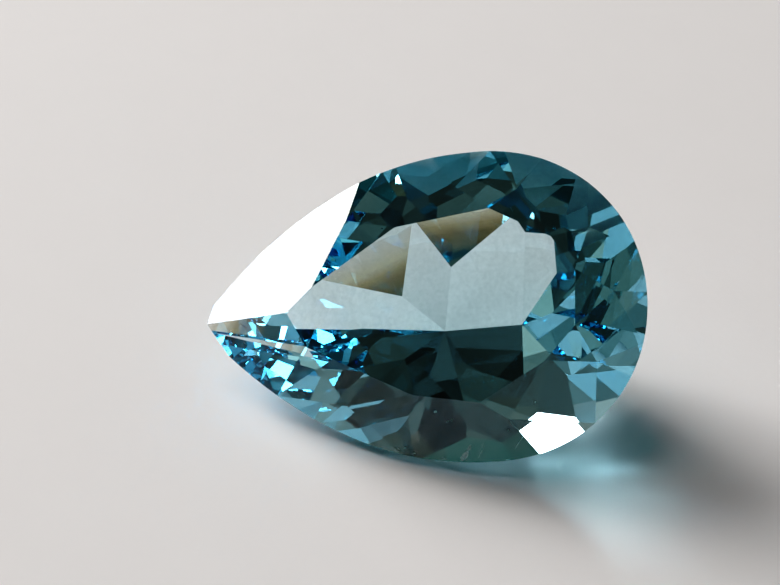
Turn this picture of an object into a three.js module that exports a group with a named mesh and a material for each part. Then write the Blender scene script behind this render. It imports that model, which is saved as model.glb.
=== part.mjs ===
// A loose pear-cut topaz, lying on one of the flat main facets of its pavilion.
//
// Millimetres, +Z up. The stone is described in its own cutting frame first: x runs along its
// length towards the round head, z stands on the table, and the origin is the middle of the widest
// place, level with the upper edge of the girdle. One convex blank is cut facet by facet and then
// laid down on the facet it rests on.
import * as THREE from "three";

// ---- Outline of the girdle, looking square at the table ----
const LENGTH = 18.47; // round head to where the two long sides would meet in a sharp tip
const FAR_HALF = 6.27; // from the long axis to the widest place of the far side
const NEAR_HALF = 6.41;
const HEAD = 6.435; // from the widest place to the round end
const HEAD_FULLNESS = 2.05; // exponent of the head's curve: 2 would be an ellipse
const WING_FULLNESS = 2.19; // exponent of the long sides: 2 would be a parabola
const GIRDLE_STEP = 2.5; // largest turn of the outline from one girdle side to the next, degrees
// The tip is blunted by two small flats: azimuth, and distance from the origin.
const TIP_FLATS = [
  { azimuth: 160, distance: 10.914 },
  { azimuth: 210.4, distance: 9.986 },
];

// ---- Heights ----
const CROWN = 1.767; // upper edge of the girdle to the table
const GIRDLE = 0.26; // girdle where it is thinnest
const MAIN_REACH = 0.54; // depth at which the planes of the pavilion mains leave the outline

// ---- Crown: one entry for each main facet, from the head to the tip ----
// azimuth: where it touches the girdle, degrees from the head; slope: degrees from the table;
// turn: how far it looks past that azimuth; star: height of the corner it shares with the next main
// and the star between them, as a part of the crown; joint: azimuth at which the two halves below
// that corner meet on the girdle.
const FAR_CROWN = [
  { azimuth: 16.5, slope: 33.0, turn: 0.8, star: 0.58, joint: 30.8 },
  { azimuth: 48.2, slope: 32.2, turn: 4.9, star: 0.673, joint: 67.6 },
  { azimuth: 86.1, slope: 34.9, turn: -0.4, star: 0.631, joint: 97.2 },
  { azimuth: 107.3, slope: 35.2, turn: -4.7, star: 0.637, joint: 111.5 },
  { azimuth: 130.0, slope: 33.0, turn: 1.2 },
];
const NEAR_CROWN = [
  { azimuth: 17.9, slope: 31.9, turn: -0.2, star: 0.58, joint: 30.8 },
  { azimuth: 53.2, slope: 29.1, turn: 1.7, star: 0.725, joint: 76.6 },
  { azimuth: 92.5, slope: 36.5, turn: 1.4, star: 0.683, joint: 97.2 },
  { azimuth: 107.6, slope: 36.0, turn: 0.1, star: 0.567, joint: 113.3 },
  { azimuth: 129.2, slope: 36.8, turn: -0.1 },
];
const FAR_CORNER = -0.67; // shift of the last star's corner along the table's edge, towards the tip
const NEAR_CORNER = -0.08;
const HEAD_STAR = 0.58; // height of the corner under the star on the head
const TIP_BEZEL = { azimuth: 206, slope: 29, foot: [-11.565, -0.02] };
const TIP_FAR = [-11.601, 0.037]; // where the halves at the tip reach the girdle
const TIP_NEAR = [-11.386, -0.356];
const TIP_HALVES = 1; // height of the upper corner of those halves, as a part of the crown

// ---- Pavilion ----
const CULET = { x: -1.997, y: -0.813, z: -6.022 }; // end of the keel on the tip's side
const KEEL_END = 1.253; // x of its other end, under the head
// Mains from the head to the tip; the first HEAD_MAINS of them meet at KEEL_END. A main is this
// much steeper than one that leaves the outline at MAIN_REACH, degrees.
const HEAD_MAINS = 2;
const FAR_MAINS = [
  { azimuth: 19.7, steeper: -3.1 },
  { azimuth: 64.1, steeper: -2.1 },
  { azimuth: 86.8, steeper: -1.56 },
  { azimuth: 106.3, steeper: -0.07 },
  { azimuth: 127.3, steeper: -2.14 },
];
const NEAR_MAINS = [
  { azimuth: 22.1, steeper: 0.5 },
  { azimuth: 67.9, steeper: -1.1 },
  { azimuth: 86.7, steeper: -1.9 },
  { azimuth: 107.5, steeper: 0 },
  { azimuth: 123.6, steeper: 1.5 },
];
// The break facets along the girdle: one between every two mains.
const FAR_BREAKS = [
  { azimuth: 39.7, slope: 47.1 },
  { azimuth: 67.9, slope: 44.5 },
  { azimuth: 94.35, slope: 41.3 },
  { azimuth: 114.1, slope: 41.3 },
  { azimuth: 143, slope: 36.5 },
];
const NEAR_BREAKS = [
  { azimuth: 39.6, slope: 50.2 },
  { azimuth: 76.4, slope: 49.9 },
  { azimuth: 93, slope: 51.9 },
  { azimuth: 117, slope: 47.1 },
  { azimuth: 134.5, slope: 43.7 },
];
const HEAD_BREAK = 48.9; // slope of the break facet under the middle of the head

const REST = { side: -1, main: 3 }; // the near main next to the last is the one it lies on

const DEG = Math.PI / 180;
const vec = (x, y, z) => new THREE.Vector3(x, y, z);

// ---- Outline ----
const tail = LENGTH - HEAD;
const half = (side) => (side > 0 ? FAR_HALF : NEAR_HALF);
const tipAzimuth = (side) => 90 + Math.atan((half(side) * WING_FULLNESS) / tail) / DEG;

// The point of the outline whose outward normal has this azimuth; side is 1 or -1.
function rim(azimuth, side, z = 0) {
  const b = half(side);
  if (azimuth > 90) {
    const steep = Math.tan((Math.min(azimuth, tipAzimuth(side)) - 90) * DEG);
    const part = ((steep * tail) / (b * WING_FULLNESS)) ** (1 / (WING_FULLNESS - 1));
    return vec(-tail * part, side * b * (1 - part ** WING_FULLNESS), z);
  }
  const q = HEAD_FULLNESS / (HEAD_FULLNESS - 1);
  const c = HEAD * Math.cos(azimuth * DEG);
  const s = b * Math.sin(azimuth * DEG);
  const reach = (Math.pow(c, q) + Math.pow(s, q)) ** (1 / q);
  return vec(HEAD * (c / reach) ** (q - 1), side * b * (s / reach) ** (q - 1), z);
}

const outward = (azimuth, side) => vec(Math.cos(azimuth * DEG), side * Math.sin(azimuth * DEG), 0);

// ---- Planes ----
// A plane is { normal, offset }: the stone lies where normal . p <= offset.
const through = (normal, point) => ({ normal, offset: normal.dot(point) });

function sloped(azimuth, slope, side, point, up) {
  const normal = outward(azimuth, side).multiplyScalar(Math.sin(slope * DEG));
  return through(normal.setZ(up * Math.cos(slope * DEG)), point);
}

function threePoints(a, b, c) {
  const normal = b.clone().sub(a).cross(c.clone().sub(a)).normalize();
  const inner = vec(0, 0, -GIRDLE);
  return normal.dot(inner) > normal.dot(a) ? through(normal.negate(), a) : through(normal, a);
}

// The point two planes share at height z.
function meet(p, q, z) {
  const det = p.normal.x * q.normal.y - p.normal.y * q.normal.x;
  const r = p.offset - p.normal.z * z;
  const s = q.offset - q.normal.z * z;
  return vec((r * q.normal.y - s * p.normal.y) / det, (p.normal.x * s - q.normal.x * r) / det, z);
}

const planes = [{ normal: vec(0, 0, 1), offset: CROWN }];

// ---- Crown ----
function crownMains(list, side) {
  return list.map((f) => {
    const foot = rim(f.azimuth, side);
    const plane = sloped(f.azimuth + f.turn, f.slope, side, foot, 1);
    const run = CROWN / Math.tan(f.slope * DEG);
    const top = foot.clone().addScaledVector(outward(f.azimuth + f.turn, side), -run).setZ(CROWN);
    return { foot, plane, top };
  });
}

// The halves left and right of a corner, down to the point where they meet on the girdle.
function halves(corner, first, second, joint) {
  planes.push(threePoints(corner, first.foot, joint), threePoints(corner, second.foot, joint));
}

function starAndHalves(first, second, height, joint) {
  const corner = meet(first.plane, second.plane, height * CROWN);
  planes.push(threePoints(first.top, second.top, corner));
  halves(corner, first, second, joint);
}

const far = crownMains(FAR_CROWN, 1);
const near = crownMains(NEAR_CROWN, -1);
const lastFar = far[far.length - 1];
const lastNear = near[near.length - 1];
const along = ({ normal }) => vec(-normal.y, normal.x, 0).normalize();
lastFar.top.addScaledVector(along(lastFar.plane), FAR_CORNER);
lastNear.top.addScaledVector(along(lastNear.plane), -NEAR_CORNER);
for (const [mains, list, side] of [
  [far, FAR_CROWN, 1],
  [near, NEAR_CROWN, -1],
]) {
  mains.forEach((m) => planes.push(m.plane));
  for (let i = 0; i + 1 < mains.length; i++)
    starAndHalves(mains[i], mains[i + 1], list[i].star, rim(list[i].joint, side));
}
starAndHalves(near[0], far[0], HEAD_STAR, rim(0, 1));

// The bezel over the tip reaches the table between the last main of either side.
const bezel = sloped(TIP_BEZEL.azimuth, TIP_BEZEL.slope, 1, vec(...TIP_BEZEL.foot, 0), 1);
planes.push(bezel);
for (const [last, tip] of [
  [lastFar, TIP_FAR],
  [lastNear, TIP_NEAR],
])
  planes.push(threePoints(meet(bezel, last.plane, TIP_HALVES * CROWN), last.foot, vec(...tip, 0)));

// ---- Pavilion ----
// A main through a point of the keel that leaves the outline at the depth of its reach.
function pavilionMain({ azimuth, steeper }, side, point) {
  const run = outward(azimuth, side).dot(rim(azimuth, side).sub(point).setZ(0));
  const slope = Math.atan2(-point.z - MAIN_REACH, run) / DEG + steeper;
  return sloped(azimuth, slope, side, point, -1);
}

const culet = vec(CULET.x, CULET.y, CULET.z);
const sides = [
  [FAR_MAINS, 1],
  [NEAR_MAINS, -1],
];
const [keelFar, keelNear] = sides.map(([list, side]) =>
  pavilionMain(list[HEAD_MAINS], side, culet),
);
const keel = keelFar.normal.clone().cross(keelNear.normal);
const keelEnd = culet.clone().addScaledVector(keel, (KEEL_END - culet.x) / keel.x);
let bed; // the facet the stone lies on
for (const [list, side] of sides)
  list.forEach((main, i) => {
    const plane = pavilionMain(main, side, i < HEAD_MAINS ? keelEnd : culet);
    if (side === REST.side && i === REST.main) bed = plane;
    planes.push(plane);
  });

const breaks = [
  ...FAR_BREAKS.map((f) => ({ ...f, side: 1 })),
  ...NEAR_BREAKS.map((f) => ({ ...f, side: -1 })),
  { azimuth: 0, slope: HEAD_BREAK, side: 1 },
];
for (const f of breaks)
  planes.push(sloped(f.azimuth, f.slope, f.side, rim(f.azimuth, f.side, -GIRDLE), -1));

// ---- Girdle: one narrow upright side after another, with a corner wherever a facet touches it ----
function girdleAzimuths(crown, pavilion, side) {
  const end = tipAzimuth(side);
  const stops = [0, end, ...crown.map((f) => f.azimuth), ...pavilion.map((f) => f.azimuth)];
  crown.forEach((f) => f.joint && stops.push(f.joint));
  stops.sort((a, b) => a - b);
  const all = [];
  for (let i = 0; i + 1 < stops.length; i++) {
    const steps = Math.ceil((stops[i + 1] - stops[i]) / GIRDLE_STEP);
    for (let k = 0; k < steps; k++) all.push(stops[i] + ((stops[i + 1] - stops[i]) * k) / steps);
  }
  return [...all, end];
}

const outline = [
  ...girdleAzimuths(FAR_CROWN, FAR_BREAKS, 1).map((a) => rim(a, 1)),
  ...girdleAzimuths(NEAR_CROWN, NEAR_BREAKS, -1)
    .slice(1, -1)
    .map((a) => rim(a, -1))
    .reverse(),
];
outline.forEach((a, i) => {
  const b = outline[(i + 1) % outline.length];
  const normal = vec(b.y - a.y, a.x - b.x, 0).normalize();
  planes.push(through(normal, a));
});
for (const flat of TIP_FLATS)
  planes.push({ normal: outward(flat.azimuth, 1), offset: flat.distance });

// ---- Cutting: a convex blank, kept as a list of flat polygons, loses what lies past a plane ----
const NEARLY = 1e-6;

function blank(size) {
  const faces = [];
  for (const axis of ["x", "y", "z"])
    for (const sign of [1, -1]) {
      const normal = vec(0, 0, 0);
      normal[axis] = sign;
      const u = vec(normal.y, normal.z, normal.x);
      const v = normal.clone().cross(u);
      const corner = (s, t) =>
        normal.clone().add(u.clone().multiplyScalar(s)).add(v.clone().multiplyScalar(t));
      faces.push([corner(1, 1), corner(-1, 1), corner(-1, -1), corner(1, -1)]);
      faces[faces.length - 1].forEach((p) => p.multiplyScalar(size));
    }
  return faces;
}

function cut(faces, { normal, offset }) {
  const kept = [];
  const rims = [];
  const past = (p) => {
    const d = normal.dot(p) - offset;
    return Math.abs(d) < NEARLY ? 0 : d;
  };
  for (const face of faces) {
    if (face.every((p) => past(p) <= 0)) {
      kept.push(face);
      rims.push(...face.filter((p) => past(p) === 0));
      continue;
    }
    const left = [];
    face.forEach((p, i) => {
      const q = face[(i + 1) % face.length];
      const dp = past(p);
      const dq = past(q);
      if (dp <= 0) left.push(p);
      if (dp * dq < 0) left.push(p.clone().lerp(q, dp / (dp - dq)));
    });
    if (left.length > 2) kept.push(left);
    rims.push(...left.filter((p) => past(p) === 0));
  }
  const corners = [];
  for (const p of rims) if (!corners.some((c) => c.distanceTo(p) < 2 * NEARLY)) corners.push(p);
  if (corners.length < 3 || kept.length === faces.length && kept.every((f, i) => f === faces[i]))
    return kept;
  const middle = corners.reduce((s, p) => s.add(p), vec(0, 0, 0)).divideScalar(corners.length);
  const u = corners[0].clone().sub(middle).normalize();
  const v = normal.clone().cross(u);
  const turn = (p) => Math.atan2(p.clone().sub(middle).dot(v), p.clone().sub(middle).dot(u));
  return [...kept, corners.sort((a, b) => turn(a) - turn(b))];
}

const faces = planes.reduce(cut, blank(2 * LENGTH));

// ---- Laying down: the bed turns to the floor, and the length comes to lie along x ----
const turned = new THREE.Matrix4().makeRotationZ(
  -Math.PI / 2 - Math.atan2(bed.normal.y, bed.normal.x),
);
const laid = new THREE.Matrix4().makeRotationX(Math.acos(-bed.normal.z)).multiply(turned);
const lengthAxis = vec(1, 0, 0).transformDirection(laid);
laid.premultiply(new THREE.Matrix4().makeRotationZ(-Math.atan2(lengthAxis.y, lengthAxis.x)));

const positions = [];
for (const face of faces)
  for (let i = 1; i + 1 < face.length; i++)
    for (const p of [face[0], face[i], face[i + 1]]) positions.push(...p.toArray());
const geometry = new THREE.BufferGeometry();
geometry.setAttribute("position", new THREE.Float32BufferAttribute(positions, 3));
geometry.applyMatrix4(laid);
geometry.computeBoundingBox();
const box = geometry.boundingBox;
geometry.translate(-(box.min.x + box.max.x) / 2, -(box.min.y + box.max.y) / 2, -box.min.z);
geometry.computeVertexNormals();

const topaz = new THREE.Mesh(
  geometry,
  new THREE.MeshStandardMaterial({ color: 0x8ccbe0, roughness: 0.02, metalness: 0 }),
);
topaz.name = "topaz";

const stone = new THREE.Group();
stone.name = "topaz_crystal";
stone.add(topaz);
export default stone;
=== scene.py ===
import math

import bmesh
import bpy
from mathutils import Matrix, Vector, noise
from mathutils.bvhtree import BVHTree


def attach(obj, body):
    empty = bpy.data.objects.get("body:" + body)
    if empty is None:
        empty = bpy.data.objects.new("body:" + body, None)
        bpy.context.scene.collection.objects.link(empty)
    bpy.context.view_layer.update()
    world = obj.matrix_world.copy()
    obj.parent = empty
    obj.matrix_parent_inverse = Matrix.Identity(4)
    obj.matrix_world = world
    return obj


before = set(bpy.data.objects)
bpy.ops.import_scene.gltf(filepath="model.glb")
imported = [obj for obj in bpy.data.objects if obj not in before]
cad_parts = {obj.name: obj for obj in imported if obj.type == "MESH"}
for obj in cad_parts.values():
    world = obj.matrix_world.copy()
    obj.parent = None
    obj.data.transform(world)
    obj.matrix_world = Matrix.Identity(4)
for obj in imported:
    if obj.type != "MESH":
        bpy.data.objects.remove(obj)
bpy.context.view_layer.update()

bl_info = {
    "name": "Pear Cut Topaz",
    "version": (1, 0, 0),
    "blender": (4, 5, 0),
    "location": "3D View > Sidebar > Topaz",
    "description": "Dresses a pear cut blue topaz and sets it on a sheet of paper by a window",
    "category": "Object",
}

MM = 0.001
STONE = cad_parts["topaz"]

# ---------------------------------------------------------------------------------------------
# Wear on the stone, in mm where a comment gives no other unit
# ---------------------------------------------------------------------------------------------
# Nicks on the front of the crown and along the girdle under it:
# where one end lies, which way it runs, its length and its width.
NICKS = (
    ((1.84, -4.62, 0.62), (0.35, 0.1, 0.94), 0.55, 0.20),
    ((2.03, -4.55, 1.12), (0.25, 0.1, 0.96), 0.36, 0.10),
    ((-0.51, -4.24, 0.71), (1.0, 0.0, 0.2), 0.11, 0.09),
    ((-0.12, -4.33, 0.55), (1.0, 0.0, 0.0), 0.10, 0.07),
    ((-0.85, -4.20, 0.62), (0.9, -0.3, -0.2), 0.22, 0.06),
    ((0.49, -4.14, 2.74), (0.3, 0.0, 1.0), 0.13, 0.12),
    ((0.98, -4.28, 2.42), (0.8, 0.0, 0.5), 0.15, 0.06),
    ((1.13, -4.28, 2.52), (0.8, 0.0, 0.5), 0.13, 0.08),
    ((1.10, -4.50, 0.60), (1.0, 0.0, 0.0), 0.14, 0.05),
    ((2.95, -4.62, 0.72), (1.0, 0.0, 0.1), 0.25, 0.05),
    ((3.50, -4.45, 2.38), (0.2, 0.0, 1.0), 0.08, 0.07),
    ((3.62, -4.62, 0.90), (1.0, 0.0, 0.1), 0.18, 0.05),
    ((4.38, -4.48, 1.98), (0.5, 0.0, 0.8), 0.14, 0.10),
    ((4.44, -3.91, 3.54), (0.2, 0.0, 1.0), 0.07, 0.06),
)
NICK_SIDES = 12
NICK_RISE = 0.022  # the most that crushed stone stands over the facet
NICK_FLATNESS = 0.22  # its rise on a narrow nick, as a part of the width
# Rings of a nick, from its sunk back over the rim and the crest to the hollow in its middle:
# reach, as a part of its half size, and height, as a part of its rise.
NICK_RINGS = ((0.85, -1.0), (1.0, 0.15), (0.62, 1.0), (0.40, 0.35))
NICK_RAGGED = 0.45  # how far the rim wanders, as a part of the reach
RAGGED_PER_MM = 3  # how fast that changes from nick to nick
RAGGED_ROUND = 1.3  # how fast it changes round one nick

# Scratches over the same facets, each a run of points.
SCRATCHES = (
    (
        (3.50, -4.38, 2.94),
        (3.64, -4.40, 2.72),
        (3.80, -4.43, 2.56),
        (3.98, -4.43, 2.40),
        (4.17, -4.44, 2.27),
    ),
    ((4.20, -4.44, 2.24), (4.08, -4.50, 1.96), (3.99, -4.53, 1.72), (3.94, -4.55, 1.51)),
    ((2.62, -4.50, 1.60), (2.58, -4.55, 1.20), (2.50, -4.58, 0.86)),
)
SCRATCH_WIDTH = 0.022
SCRATCH_HEIGHT = 0.5  # as a part of half the width
SCRATCH_END = 0.35  # width at both ends, as a part of the full width

# Two sets of fine lines in the polish, which run across each other: how each is turned, in
# radians round X, Y and Z, and how closely its noise repeats along X, Y and Z, per metre.
FINE_LINES = (((0.4, 0.2, 0.6), (60, 2200, 60)), ((1.1, 0.7, 2.1), (50, 1700, 50)))

# ---------------------------------------------------------------------------------------------
# The stone's colour
# ---------------------------------------------------------------------------------------------
# Light that leaves the stone at a low angle is warm, because the blue end of it stays inside:
# how much of it the facet throws back, and the colour of what leaves.
LEAVING_TINTS = (
    (0.30, (1.0, 1.0, 1.0)),
    (0.43, (1.0, 0.74, 0.39)),
    (0.48, (0.50, 0.29, 0.08)),
    (0.54, (0.18, 0.10, 0.03)),
)
CRUSHED_TINTS = ((0.35, (0.20, 0.36, 0.38)), (0.65, (0.62, 0.78, 0.78)))

# ---------------------------------------------------------------------------------------------
# The room, the light and the picture
# ---------------------------------------------------------------------------------------------
# The room's colour by height: the sine of the height over the horizon, and the colour.
ROOM_HEIGHTS = (
    (0.0, (0.36, 0.35, 0.31)),
    (0.16, (0.32, 0.31, 0.27)),
    (0.34, (0.12, 0.105, 0.085)),
    (0.6, (0.105, 0.09, 0.07)),
    (1.0, (0.095, 0.08, 0.065)),
)
# Round things in the room that the facets mirror: bearing, height over the horizon and half
# width in degrees, and how many times as bright as the room behind it each is.
ROOM_THINGS = (
    (281, 50, 10, 0.08),
    (320, 54, 14, 0.45),
    (255, 48, 4, 1.5),
    (252, 63, 9, 1.2),
    (235, 58, 8, 0.7),
    (225, 60, 7, 0.9),
    (207, 54, 7, 0.6),
    (243, 45, 5, 2.5),
    (218, 34, 8, 2.2),
    (36, 72, 10, 1.7),
    (329, 32, 7, 0.35),
    (349, 45, 10, 0.8),
    (354, 26, 7, 0.5),
    (183, 20, 12, 0.6),
    (197, 23, 8, 0.45),
    (180, 34, 6, 12.0),
    (167, 33, 5, 0.4),
    (163, 47, 4, 3.5),
    (123, 37, 4, 2.5),
    (150, 4, 9, 9.0),
    (136, 8, 8, 0.6),
    (320, 17, 8, 4.0),
    (276, 9, 9, 0.25),
)
# Coloured things in the room, such as a blue-green curtain: bearing, height, half width and
# colour.
ROOM_COLOURS = ((104, 34, 19, (0.42, 0.94, 1.0)),)
# Such a thing fades in from the first to the second of these, in half widths from its middle.
DISC_RIM = (1.3, 0.7)
# How much of the room's light matt things get, beside what the polished facets mirror of it.
ROOM_ON_MATT = 0.15

SHEET_HALF = 0.45  # half the side of the sheet, in metres
SHEET_DROP = 0.00002  # gap between the stone and the sheet under it, in metres
PAPER_CLOUDS = 0.015  # how far the paper's colour strays, as a part of it

# The soft fill: its width and its distance in metres, its bearing and its height in degrees.
FILL_SIZE = 0.36
FILL_AWAY = 0.5
FILL_BEARING = 152
FILL_RISE = 57

CAMERA_PLACE = (-8.2688, -67.4081, 65.4473)  # mm
CAMERA_TURN = (48.0713, -6.4301, 0.0957)  # degrees round X, Y and Z
SENSOR_WIDTH = 36.0  # mm

# Points of the picture's tone curve: light in, light out. The darks go down, the rest stays.
TONE_CURVE = ((0.04, 0.011), (0.10, 0.066), (0.25, 0.22), (0.66, 0.66))

# A cut stone turns light round many times, so paths are long.
STONE_BOUNCES = 64
MIRROR_BOUNCES = 48
BRIGHTEST_BOUNCE = 12.0  # light that comes by a bounce is cut off here, so it leaves no sparks

# Sockets of a colour mix node, and the curve that acts on all channels.
MIX_FACTOR, MIX_A, MIX_B, MIX_RESULT = 0, 6, 7, 2
ALL_CHANNELS = 3


# ---------------------------------------------------------------------------------------------
# Sizes and colours a user may change
# ---------------------------------------------------------------------------------------------
def number(name, description, default, low, high):
    """A plain number."""
    return bpy.props.FloatProperty(
        name=name, description=description, default=default, min=low, max=high
    )


def colour(name, description, default):
    """A colour."""
    return bpy.props.FloatVectorProperty(
        name=name, description=description, subtype="COLOR", default=default, min=0.0, max=1.0
    )


def angle(name, description, degrees):
    """An angle, given in degrees."""
    return bpy.props.FloatProperty(
        name=name, description=description, default=math.radians(degrees), unit="ROTATION"
    )


class TopazStoneSettings(bpy.types.PropertyGroup):
    """The gem itself."""

    refraction: number("Refractive index", "Topaz bends light by 1.61 to 1.64", 1.62, 1.4, 2.0)
    depth_colour: colour(
        "Depth colour", "Colour of light that has gone a long way through the stone", (0.19, 0.725, 0.869)
    )
    depth: number("Depth of colour", "Absorption per metre of stone", 90.0, 0.0, 1000.0)
    polish: number("Polish roughness", "Roughness of the clean polished facets", 0.0, 0.0, 0.3)
    scuff: number("Scuffs", "Roughness inside the fine scratches and rubs", 0.22, 0.0, 1.0)


class TopazStageSettings(bpy.types.PropertyGroup):
    """The sheet, the light and the camera."""

    sheet: colour("Sheet colour", "Colour of the paper", (0.80, 0.776, 0.770))
    window_power: number("Window", "Brightness of the window", 17.0, 0.0, 1000.0)
    window_away: bpy.props.FloatProperty(
        name="Window distance",
        description="Distance from the stone to the window",
        default=0.62,
        min=0.05,
        unit="LENGTH",
    )
    window_left: angle("Window left", "Bearing of the sill's left end, from +X to +Y", 128)
    window_right: angle("Window right", "Bearing of the right upright", 163)
    window_sill: angle("Window sill", "Height of the sill over the horizon", 15)
    window_top: angle("Window top", "Height of the top over the horizon", 41.5)
    window_lean: angle("Window lean", "How far the left upright leans in", 8.5)
    fill_power: number("Fill", "Radiance of the broad soft light that opens the shadows", 2.8, 0.0, 100.0)
    exposure: number("Exposure", "Brightness of the picture in stops", 0.0, -4.0, 4.0)
    lens: number("Lens", "Focal length on a 36 mm wide sensor, in mm", 102.94, 10.0, 400.0)


def heading(bearing, rise):
    """The direction at a bearing from +X to +Y and a height over the horizon."""
    flat = math.cos(rise)
    return Vector((math.cos(bearing) * flat, math.sin(bearing) * flat, math.sin(rise)))


# ---------------------------------------------------------------------------------------------
# Node helpers
# ---------------------------------------------------------------------------------------------
def fresh_material(name):
    """An empty node material and its tree."""
    material = bpy.data.materials.new(name)
    material.use_nodes = True
    material.node_tree.nodes.clear()
    return material, material.node_tree


def add(tree, kind, at, inputs=None, **settings):
    """A node with its settings and plain values on its sockets."""
    node = tree.nodes.new(kind)
    node.location = at
    for key, value in settings.items():
        setattr(node, key, value)
    for key, value in (inputs or {}).items():
        node.inputs[key].default_value = value
    return node


def join(tree, *pairs):
    """Links, each from an output to an input."""
    for source, target in pairs:
        tree.links.new(source, target)


def ramp(tree, at, stops):
    """A colour ramp; each of its stops is a position and a colour."""
    node = add(tree, "ShaderNodeValToRGB", at)
    elements = node.color_ramp.elements
    while len(elements) < len(stops):
        elements.new(0.5)
    for element, (position, shade) in zip(elements, stops):
        element.position = position
        element.color = (*shade, 1.0)
    return node


def grain(tree, at, scale, detail, roughness=0.5):
    """A noise texture."""
    values = {"Scale": scale, "Detail": detail, "Roughness": roughness}
    return add(tree, "ShaderNodeTexNoise", at, values)


def smooth_range(tree, at, low, high, start=0.0, end=1.0):
    """Goes smoothly from start to end while its value goes from low to high."""
    ends = {"From Min": low, "From Max": high, "To Min": start, "To Max": end}
    return add(tree, "ShaderNodeMapRange", at, ends, interpolation_type="SMOOTHSTEP")


def colour_mix(tree, at, inputs=None, blend="MIX"):
    """Mixes the colours on MIX_A and MIX_B."""
    return add(tree, "ShaderNodeMix", at, inputs, data_type="RGBA", blend_type=blend)


def wear_group():
    """Fine rubs and scratches: Mask is 1 inside them, Height is low inside them."""
    name = "Fine wear"
    if name in bpy.data.node_groups:
        return bpy.data.node_groups[name]
    group = bpy.data.node_groups.new(name, "ShaderNodeTree")
    for label in ("Scratches", "Rubs"):
        socket = group.interface.new_socket(label, in_out="INPUT", socket_type="NodeSocketFloat")
        socket.default_value = 1.0
    for label in ("Mask", "Height"):
        group.interface.new_socket(label, in_out="OUTPUT", socket_type="NodeSocketFloat")
    inputs = add(group, "NodeGroupInput", (-1100, 0))
    outputs = add(group, "NodeGroupOutput", (700, 0))
    place = add(group, "ShaderNodeTexCoord", (-900, 300))
    sets = []
    for i, (turn, stretch) in enumerate(FINE_LINES):
        row = 300 - 320 * i
        lay = add(group, "ShaderNodeMapping", (-700, row), {"Rotation": turn, "Scale": stretch})
        lines = grain(group, (-500, row), scale=1.0, detail=1.0)
        thin = smooth_range(group, (-300, row), low=0.70, high=0.78)
        join(
            group,
            (place.outputs["Object"], lay.inputs["Vector"]),
            (lay.outputs[0], lines.inputs["Vector"]),
            (lines.outputs["Fac"], thin.inputs["Value"]),
        )
        sets.append(thin)
    both = add(group, "ShaderNodeMath", (-100, 200), operation="MAXIMUM")
    scratched = add(group, "ShaderNodeMath", (100, 200), operation="MULTIPLY")
    clouds = grain(group, (-500, -400), scale=420.0, detail=4.0, roughness=0.6)
    rubbed = smooth_range(group, (-300, -400), low=0.66, high=0.80)
    rubs = add(group, "ShaderNodeMath", (100, -300), operation="MULTIPLY")
    mask = add(group, "ShaderNodeMath", (300, 0), operation="MAXIMUM")
    height = add(group, "ShaderNodeMath", (500, -150), {0: 1.0}, operation="SUBTRACT")
    join(
        group,
        (sets[0].outputs[0], both.inputs[0]),
        (sets[1].outputs[0], both.inputs[1]),
        (both.outputs[0], scratched.inputs[0]),
        (inputs.outputs["Scratches"], scratched.inputs[1]),
        (place.outputs["Object"], clouds.inputs["Vector"]),
        (clouds.outputs["Fac"], rubbed.inputs["Value"]),
        (rubbed.outputs[0], rubs.inputs[0]),
        (inputs.outputs["Rubs"], rubs.inputs[1]),
        (scratched.outputs[0], mask.inputs[0]),
        (rubs.outputs[0], mask.inputs[1]),
        (mask.outputs[0], outputs.inputs["Mask"]),
        (mask.outputs[0], height.inputs[1]),
        (height.outputs[0], outputs.inputs["Height"]),
    )
    return group


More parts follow.
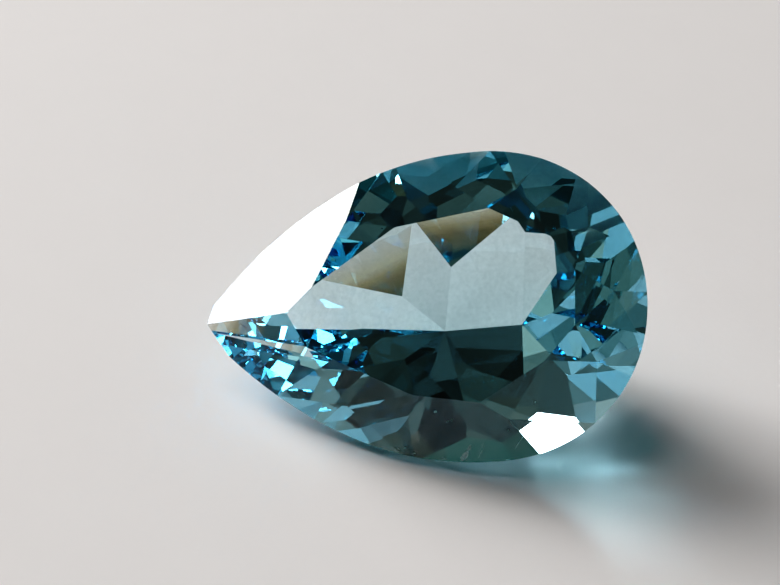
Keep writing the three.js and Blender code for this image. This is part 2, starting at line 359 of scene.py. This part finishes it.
# ---------------------------------------------------------------------------------------------
# Materials
# ---------------------------------------------------------------------------------------------
def topaz_material(stone):
    """Clear blue stone: plain glass with the colour in its depth, and a used polish."""
    material, tree = fresh_material("polished topaz")
    out = add(tree, "ShaderNodeOutputMaterial", (700, 0))
    clear = {"Transmission Weight": 1.0, "IOR": stone.refraction}
    glass = add(tree, "ShaderNodeBsdfPrincipled", (350, 0), clear)
    blue = {"Color": (*stone.depth_colour, 1.0), "Density": stone.depth}
    inside = add(tree, "ShaderNodeVolumeAbsorption", (350, -420), blue)

    # The warm tint of light that leaves at a low angle, only where it goes out of the stone.
    leaving = add(tree, "ShaderNodeFresnel", (-350, 600), {"IOR": stone.refraction})
    tints = ramp(tree, (-150, 600), LEAVING_TINTS)
    sides = add(tree, "ShaderNodeNewGeometry", (-150, 350))
    tinted = colour_mix(tree, (120, 500), {MIX_A: (1, 1, 1, 1)})

    # A faint film of specks over all facets.
    place = add(tree, "ShaderNodeTexCoord", (-700, 900))
    specks = grain(tree, (-500, 900), scale=5200.0, detail=3.0, roughness=0.7)
    faint = {"From Min": 0.38, "From Max": 0.60, "To Min": 0.89, "To Max": 1.0}
    film = add(tree, "ShaderNodeMapRange", (-300, 900), faint)
    filmed = colour_mix(tree, (230, 700), {MIX_FACTOR: 1.0}, "MULTIPLY")

    worn = {"Scratches": 0.5, "Rubs": 0.3}
    wear = add(tree, "ShaderNodeGroup", (-350, 0), worn, node_tree=wear_group())
    rough = add(tree, "ShaderNodeMapRange", (0, 100), {"To Min": stone.polish, "To Max": stone.scuff})
    bump = add(tree, "ShaderNodeBump", (0, -200), {"Strength": 0.05, "Distance": 0.00001})
    join(
        tree,
        (leaving.outputs[0], tints.inputs[0]),
        (sides.outputs["Backfacing"], tinted.inputs[MIX_FACTOR]),
        (tints.outputs[0], tinted.inputs[MIX_B]),
        (place.outputs["Object"], specks.inputs["Vector"]),
        (specks.outputs["Fac"], film.inputs["Value"]),
        (tinted.outputs[MIX_RESULT], filmed.inputs[MIX_A]),
        (film.outputs[0], filmed.inputs[MIX_B]),
        (filmed.outputs[MIX_RESULT], glass.inputs["Base Color"]),
        (wear.outputs["Mask"], rough.inputs["Value"]),
        (rough.outputs[0], glass.inputs["Roughness"]),
        (wear.outputs["Height"], bump.inputs["Height"]),
        (bump.outputs[0], glass.inputs["Normal"]),
        (glass.outputs[0], out.inputs["Surface"]),
        (inside.outputs[0], out.inputs["Volume"]),
    )
    return material


def bruise_material(stone):
    """Crushed stone in the nicks and scratches: pale, frosted and uneven."""
    material, tree = fresh_material("bruised topaz")
    out = add(tree, "ShaderNodeOutputMaterial", (700, 0))
    hazy = {"IOR": stone.refraction, "Transmission Weight": 0.35}
    crushed = add(tree, "ShaderNodeBsdfPrincipled", (350, 0), hazy)
    place = add(tree, "ShaderNodeTexCoord", (-700, 0))
    crumbs = grain(tree, (-500, 100), scale=9000.0, detail=4.0, roughness=0.65)
    tint = ramp(tree, (-250, 250), CRUSHED_TINTS)
    frost = add(tree, "ShaderNodeMapRange", (-250, -50), {"To Min": stone.scuff, "To Max": 0.6})
    bump = add(tree, "ShaderNodeBump", (0, -250), {"Strength": 0.6, "Distance": 0.00002})
    join(
        tree,
        (place.outputs["Object"], crumbs.inputs["Vector"]),
        (crumbs.outputs["Fac"], tint.inputs[0]),
        (crumbs.outputs["Fac"], frost.inputs["Value"]),
        (crumbs.outputs["Fac"], bump.inputs["Height"]),
        (tint.outputs[0], crushed.inputs["Base Color"]),
        (frost.outputs[0], crushed.inputs["Roughness"]),
        (bump.outputs[0], crushed.inputs["Normal"]),
        (crushed.outputs[0], out.inputs["Surface"]),
    )
    return material


def paper_material(stage):
    """Matt paper with a faint tooth and cloudiness."""
    material, tree = fresh_material("matt paper")
    out = add(tree, "ShaderNodeOutputMaterial", (700, 0))
    matt = {"Roughness": 0.9, "Specular IOR Level": 0.2}
    sheet = add(tree, "ShaderNodeBsdfPrincipled", (350, 0), matt)
    place = add(tree, "ShaderNodeTexCoord", (-900, 0))
    clouds = grain(tree, (-700, 200), scale=300.0, detail=5.0, roughness=0.6)
    darker = [c * (1 - PAPER_CLOUDS) for c in stage.sheet]
    lighter = [min(1.0, c * (1 + PAPER_CLOUDS)) for c in stage.sheet]
    tint = colour_mix(tree, (-100, 200), {MIX_A: (*darker, 1.0), MIX_B: (*lighter, 1.0)})
    tooth = grain(tree, (-700, -200), scale=3500.0, detail=6.0, roughness=0.7)
    bump = add(tree, "ShaderNodeBump", (0, -200), {"Strength": 0.08, "Distance": 0.00008})
    join(
        tree,
        (place.outputs["Object"], clouds.inputs["Vector"]),
        (place.outputs["Object"], tooth.inputs["Vector"]),
        (clouds.outputs["Fac"], tint.inputs[MIX_FACTOR]),
        (tint.outputs[MIX_RESULT], sheet.inputs["Base Color"]),
        (tooth.outputs["Fac"], bump.inputs["Height"]),
        (bump.outputs[0], sheet.inputs["Normal"]),
        (sheet.outputs[0], out.inputs["Surface"]),
    )
    return material


def window_material(stage):
    """Even daylight over a pane."""
    material, tree = fresh_material("daylight pane")
    out = add(tree, "ShaderNodeOutputMaterial", (500, 0))
    daylight = {"Color": (1.0, 0.985, 0.965, 1.0), "Strength": stage.window_power}
    glow = add(tree, "ShaderNodeEmission", (300, 0), daylight)
    join(tree, (glow.outputs[0], out.inputs["Surface"]))
    return material


# ---------------------------------------------------------------------------------------------
# The room
# ---------------------------------------------------------------------------------------------
def soft_disc(tree, ways, at, spot, outside, inside):
    """One value inside a round part of the room and one outside, with a soft rim between them."""
    bearing, rise, reach = spot
    aim = heading(math.radians(bearing), math.radians(rise))
    near = add(tree, "ShaderNodeVectorMath", at, {1: aim}, operation="DOT_PRODUCT")
    start, whole = (math.cos(math.radians(reach * part)) for part in DISC_RIM)
    shade = smooth_range(tree, (at[0] + 200, at[1]), start, whole, outside, inside)
    join(tree, (ways, near.inputs[0]), (near.outputs["Value"], shade.inputs["Value"]))
    return shade.outputs[0]


def room_level(tree, ways):
    """How bright the room is each way: uneven all over, and lighter or darker at its things."""
    clouds = grain(tree, (-400, -200), scale=2.6, detail=1.0, roughness=0.4)
    patches = smooth_range(tree, (-100, -200), low=0.40, high=0.60, start=0.55, end=1.4)
    join(tree, (ways, clouds.inputs["Vector"]), (clouds.outputs["Fac"], patches.inputs["Value"]))
    level = patches.outputs[0]
    for i, (*spot, bright) in enumerate(ROOM_THINGS):
        row = -500 - 200 * i
        shade = soft_disc(tree, ways, (-400, row), spot, 1.0, bright)
        both = add(tree, "ShaderNodeMath", (0, row), operation="MULTIPLY")
        join(tree, (level, both.inputs[0]), (shade, both.inputs[1]))
        level = both.outputs[0]
    return level


def room_colour(tree, ways):
    """The room's colour each way: warm, lighter low down, and tinted at its coloured things."""
    split = add(tree, "ShaderNodeSeparateXYZ", (-400, 150))
    heights = ramp(tree, (-100, 150), ROOM_HEIGHTS)
    join(tree, (ways, split.inputs[0]), (split.outputs["Z"], heights.inputs[0]))
    tone = heights.outputs[0]
    for i, (*spot, dye) in enumerate(ROOM_COLOURS):
        row = 900 + 200 * i
        shade = soft_disc(tree, ways, (-400, row), spot, 0.0, 1.0)
        dyed = colour_mix(tree, (0, row), {MIX_B: (*dye, 1.0)}, "MULTIPLY")
        join(tree, (shade, dyed.inputs[MIX_FACTOR]), (tone, dyed.inputs[MIX_A]))
        tone = dyed.outputs[MIX_RESULT]
    return tone


def room_world():
    """A dim room round the sheet, which lights matt things less than the facets mirror it."""
    world = bpy.data.worlds.new("dim room")
    bpy.context.scene.world = world
    world.use_nodes = True
    tree = world.node_tree
    tree.nodes.clear()
    out = add(tree, "ShaderNodeOutputWorld", (800, 0))
    back = add(tree, "ShaderNodeBackground", (600, 0))
    ways = add(tree, "ShaderNodeTexCoord", (-600, 0)).outputs["Generated"]
    light = add(tree, "ShaderNodeVectorMath", (350, 0), operation="SCALE")
    ray = add(tree, "ShaderNodeLightPath", (0, 500))
    polished = add(tree, "ShaderNodeMath", (200, 500), operation="MAXIMUM")
    share = add(tree, "ShaderNodeMapRange", (400, 500), {"To Min": ROOM_ON_MATT, "To Max": 1.0})
    join(
        tree,
        (ray.outputs["Is Glossy Ray"], polished.inputs[0]),
        (ray.outputs["Is Transmission Ray"], polished.inputs[1]),
        (polished.outputs[0], share.inputs["Value"]),
        (share.outputs[0], back.inputs["Strength"]),
        (room_colour(tree, ways), light.inputs[0]),
        (room_level(tree, ways), light.inputs["Scale"]),
        (light.outputs[0], back.inputs["Color"]),
        (back.outputs[0], out.inputs["Surface"]),
    )


# ---------------------------------------------------------------------------------------------
# Meshes
# ---------------------------------------------------------------------------------------------
def stone_surface():
    """The stone's faces, to find the nearest point and its normal."""
    mesh = STONE.data
    points = [STONE.matrix_world @ v.co for v in mesh.vertices]
    return BVHTree.FromPolygons(points, [tuple(p.vertices) for p in mesh.polygons])


def skin_rings(form, rings):
    """Faces from each ring to the next, and over both ends."""
    count = len(rings[0])
    for near, far in zip(rings, rings[1:]):
        for i in range(count):
            j = (i + 1) % count
            form.faces.new((near[i], near[j], far[j], far[i]))
    form.faces.new(list(reversed(rings[0])))
    form.faces.new(rings[-1])


def add_nick(form, surface, start, way, length, width):
    """A shallow shell-shaped break: a ragged rim, a hollow ripple and a back sunk in the stone."""
    middle = Vector(start) * MM + Vector(way).normalized() * length * MM / 2
    at, normal, _, _ = surface.find_nearest(middle)
    along = Vector(way) - normal * normal.dot(Vector(way))
    along.normalize()
    across = normal.cross(along)
    lift = min(NICK_RISE, width * NICK_FLATNESS) * MM
    rings = []
    for reach, height in NICK_RINGS:
        ring = []
        for i in range(NICK_SIDES):
            turn = 2 * math.pi * i / NICK_SIDES
            round_it = Vector((math.cos(turn), math.sin(turn), 0)) * RAGGED_ROUND
            ragged = 1 + NICK_RAGGED * noise.noise(at / MM * RAGGED_PER_MM + round_it)
            out = along * math.cos(turn) * length + across * math.sin(turn) * width
            place = at + out * (0.5 * MM * reach * ragged) + normal * (height * lift)
            ring.append(form.verts.new(place))
        rings.append(ring)
    skin_rings(form, rings)


def add_scratch(form, surface, points):
    """A thin ridge of crushed stone, half sunk in the surface, that narrows at its ends."""
    found = [surface.find_nearest(Vector(p) * MM)[:2] for p in points]
    last = len(found) - 1
    rings = []
    for i, (at, normal) in enumerate(found):
        before, after = found[max(i - 1, 0)][0], found[min(i + 1, last)][0]
        across = normal.cross(after - before).normalized()
        half = SCRATCH_WIDTH * MM / 2 * (SCRATCH_END if i in (0, last) else 1.0)
        top = at + normal * half * SCRATCH_HEIGHT
        corners = (at + across * half, top, at - across * half, at - normal * half)
        rings.append([form.verts.new(c) for c in corners])
    skin_rings(form, rings)


def mesh_object(form, name, material):
    """The mesh as an object in the scene."""
    mesh = bpy.data.meshes.new(name)
    form.to_mesh(mesh)
    form.free()
    mesh.materials.append(material)
    made = bpy.data.objects.new(name, mesh)
    bpy.context.scene.collection.objects.link(made)
    return made


def finish_piece(form, name, material):
    """The mesh as a piece that goes with the stone."""
    bmesh.ops.recalc_face_normals(form, faces=form.faces)
    piece = mesh_object(form, name, material)
    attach(piece, "root")


# ---------------------------------------------------------------------------------------------
# Operators
# ---------------------------------------------------------------------------------------------
class TOPAZ_OT_dress_stone(bpy.types.Operator):
    """Give the cut stone its clear blue body and its polish"""

    bl_idname = "topaz.dress_stone"
    bl_label = "Dress the stone"

    def execute(self, context):
        material = topaz_material(context.scene.topaz_stone)
        STONE.data.materials.clear()
        STONE.data.materials.append(material)
        return {"FINISHED"}


class TOPAZ_OT_wear_stone(bpy.types.Operator):
    """Put the small nicks and scratches on the front of the stone"""

    bl_idname = "topaz.wear_stone"
    bl_label = "Nicks and scratches"

    def execute(self, context):
        surface = stone_surface()
        material = bruise_material(context.scene.topaz_stone)
        form = bmesh.new()
        for start, way, length, width in NICKS:
            add_nick(form, surface, start, way, length, width)
        finish_piece(form, "nicks", material)
        form = bmesh.new()
        for points in SCRATCHES:
            add_scratch(form, surface, points)
        finish_piece(form, "scratches", material)
        return {"FINISHED"}


class TOPAZ_OT_set_stage(bpy.types.Operator):
    """Lay the sheet, light it from a window, and place the camera"""

    bl_idname = "topaz.set_stage"
    bl_label = "Set the stage"

    def execute(self, context):
        stage = context.scene.topaz_stage
        self.lay_sheet(stage)
        self.open_window(stage)
        self.soften(context.scene, stage)
        room_world()
        self.place_camera(context.scene, stage)
        self.develop(context.scene, stage)
        self.follow_light(context.scene.cycles)
        return {"FINISHED"}

    def lay_sheet(self, stage):
        """A flat sheet, wide enough to fill the picture, just under the stone."""
        form = bmesh.new()
        bmesh.ops.create_grid(form, x_segments=2, y_segments=2, size=SHEET_HALF)
        sheet = mesh_object(form, "sheet", paper_material(stage))
        sheet.location.z = -SHEET_DROP

    def open_window(self, stage):
        """A four-cornered pane of light, its left upright leaning in towards the top."""
        corners = (
            (stage.window_left, stage.window_sill),
            (stage.window_right, stage.window_sill),
            (stage.window_right, stage.window_top),
            (stage.window_left + stage.window_lean, stage.window_top),
        )
        form = bmesh.new()
        form.faces.new([form.verts.new(heading(*c) * stage.window_away) for c in corners])
        window = mesh_object(form, "window", window_material(stage))
        window.visible_camera = False

    def soften(self, scene, stage):
        """A broad light, high over the back left, that only matt things catch."""
        light = bpy.data.lights.new("soft fill", "AREA")
        light.shape = "DISK"
        light.size = FILL_SIZE
        light.energy = stage.fill_power * math.pi * math.pi * light.size**2 / 4
        fill = bpy.data.objects.new("soft fill", light)
        towards = heading(math.radians(FILL_BEARING), math.radians(FILL_RISE))
        fill.location = towards * FILL_AWAY
        fill.rotation_euler = towards.to_track_quat("Z", "Y").to_euler()
        fill.visible_camera = False
        fill.visible_glossy = False
        fill.visible_transmission = False
        scene.collection.objects.link(fill)

    def place_camera(self, scene, stage):
        """A long lens that looks down on the table of the stone."""
        data = bpy.data.cameras.new("camera")
        data.lens = stage.lens
        data.sensor_width = SENSOR_WIDTH
        data.clip_start = 0.005
        data.clip_end = 5.0
        camera = bpy.data.objects.new("camera", data)
        camera.location = [c * MM for c in CAMERA_PLACE]
        camera.rotation_euler = [math.radians(a) for a in CAMERA_TURN]
        scene.collection.objects.link(camera)
        scene.camera = camera

    def develop(self, scene, stage):
        """A mild curve that deepens the darks and leaves the sheet's level alone."""
        view = scene.view_settings
        view.view_transform = "Standard"
        view.exposure = stage.exposure
        view.use_curve_mapping = True
        mapping = view.curve_mapping
        mapping.extend = "EXTRAPOLATED"
        for light_in, light_out in TONE_CURVE:
            mapping.curves[ALL_CHANNELS].points.new(light_in, light_out)
        mapping.update()

    def follow_light(self, paths):
        """Paths long enough for light that turns round and round in the stone."""
        paths.max_bounces = STONE_BOUNCES
        paths.transmission_bounces = STONE_BOUNCES
        paths.glossy_bounces = MIRROR_BOUNCES
        paths.sample_clamp_indirect = BRIGHTEST_BOUNCE
        paths.blur_glossy = 0.0


class TOPAZ_PT_panel(bpy.types.Panel):
    """The stone and its stage"""

    bl_idname = "TOPAZ_PT_panel"
    bl_label = "Pear Cut Topaz"
    bl_space_type = "VIEW_3D"
    bl_region_type = "UI"
    bl_category = "Topaz"

    def draw(self, context):
        for settings, operators in (
            (context.scene.topaz_stone, (TOPAZ_OT_dress_stone, TOPAZ_OT_wear_stone)),
            (context.scene.topaz_stage, (TOPAZ_OT_set_stage,)),
        ):
            box = self.layout.box()
            for name in settings.bl_rna.properties.keys():
                if name not in {"rna_type", "name"}:
                    box.prop(settings, name)
            for operator in operators:
                box.operator(operator.bl_idname)


CLASSES = (
    TopazStoneSettings,
    TopazStageSettings,
    TOPAZ_OT_dress_stone,
    TOPAZ_OT_wear_stone,
    TOPAZ_OT_set_stage,
    TOPAZ_PT_panel,
)


def register():
    """Make the settings, the operators and the panel known."""
    for cls in CLASSES:
        bpy.utils.register_class(cls)
    bpy.types.Scene.topaz_stone = bpy.props.PointerProperty(type=TopazStoneSettings)
    bpy.types.Scene.topaz_stage = bpy.props.PointerProperty(type=TopazStageSettings)


def unregister():
    """Take them away again."""
    del bpy.types.Scene.topaz_stage
    del bpy.types.Scene.topaz_stone
    for cls in reversed(CLASSES):
        bpy.utils.unregister_class(cls)


def main():
    """Dress and wear the stone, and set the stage."""
    register()
    bpy.ops.topaz.dress_stone()
    bpy.ops.topaz.wear_stone()
    bpy.ops.topaz.set_stage()
    bpy.context.view_layer.update()


if __name__ == "__main__":
    main()
